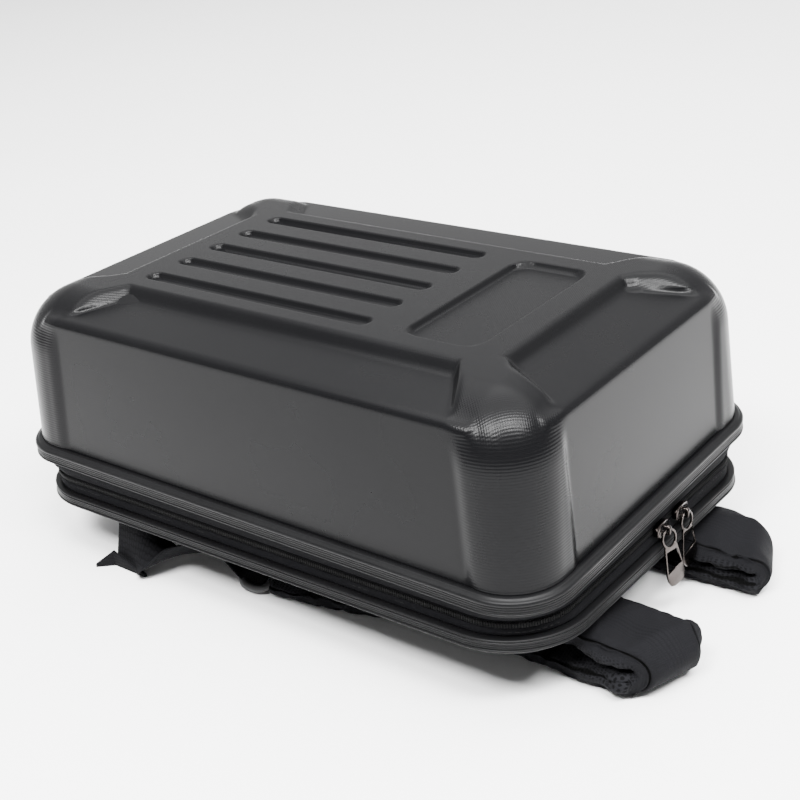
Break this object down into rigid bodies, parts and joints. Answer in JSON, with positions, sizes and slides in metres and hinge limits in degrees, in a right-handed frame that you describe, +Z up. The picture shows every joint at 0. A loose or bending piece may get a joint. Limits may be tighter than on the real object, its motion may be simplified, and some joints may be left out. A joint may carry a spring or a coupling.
{
  "type": "hard shell backpack",
  "caption": "Moulded hard shell backpack lying on its back, with grooved front, sunken edge facets, corner bumpers, ribbed trims, a zipped gusset and folded padded shoulder straps.",
  "frame": {"origin": "centre of the whole model's footprint, on the floor that the folded straps rest on", "axes": "+X towards the pack's top end, where the zip sliders meet, +Y across the pack, +Z up, out of the moulded front"},
  "size_m": [0.5064, 0.3124, 0.2025],
  "materials": {
    "shell": "satin black moulding with fine machined lines",
    "trim": "satin black ribbed edging",
    "cloth": "black woven polyester",
    "zip_tape": "black nylon coil zip",
    "panel": "black woven polyester over a stiff board",
    "metal": "polished gunmetal",
    "pad": "black polyester with air mesh lining",
    "webbing": "black ribbed webbing",
    "buckle": "dark grey acetal"
  },
  "bodies": {
    "root": {"front_shell": "shell", "front_trim": "trim", "gusset_front": "cloth", "zip_chain": "zip_tape", "gusset_back": "cloth", "back_trim": "trim", "back_panel": "panel", "zip_slider_1": "metal", "zip_slider_2": "metal", "shoulder_pad_near": "pad", "shoulder_pad_far": "pad", "ladder_lock_near": "buckle", "ladder_lock_far": "buckle", "webbing_near": "webbing", "webbing_far": "webbing", "anchor_tab_near": "webbing", "anchor_tab_far": "webbing"},
    "pull_1": {"zip_pull_1": "metal"},
    "pull_2": {"zip_pull_2": "metal"}
  },
  "joints": [
    {"name": "pull_1_swing", "type": "hinge", "parent": "root", "child": "pull_1", "pos_m": [0.20901, 0.0035, 0.06245], "axis": [0, -1, 0], "range_deg": [0, 150]},
    {"name": "pull_2_swing", "type": "hinge", "parent": "root", "child": "pull_2", "pos_m": [0.20901, 0.0295, 0.06189], "axis": [0.0998, -0.995, 0], "range_deg": [0, 150]}
  ]
}
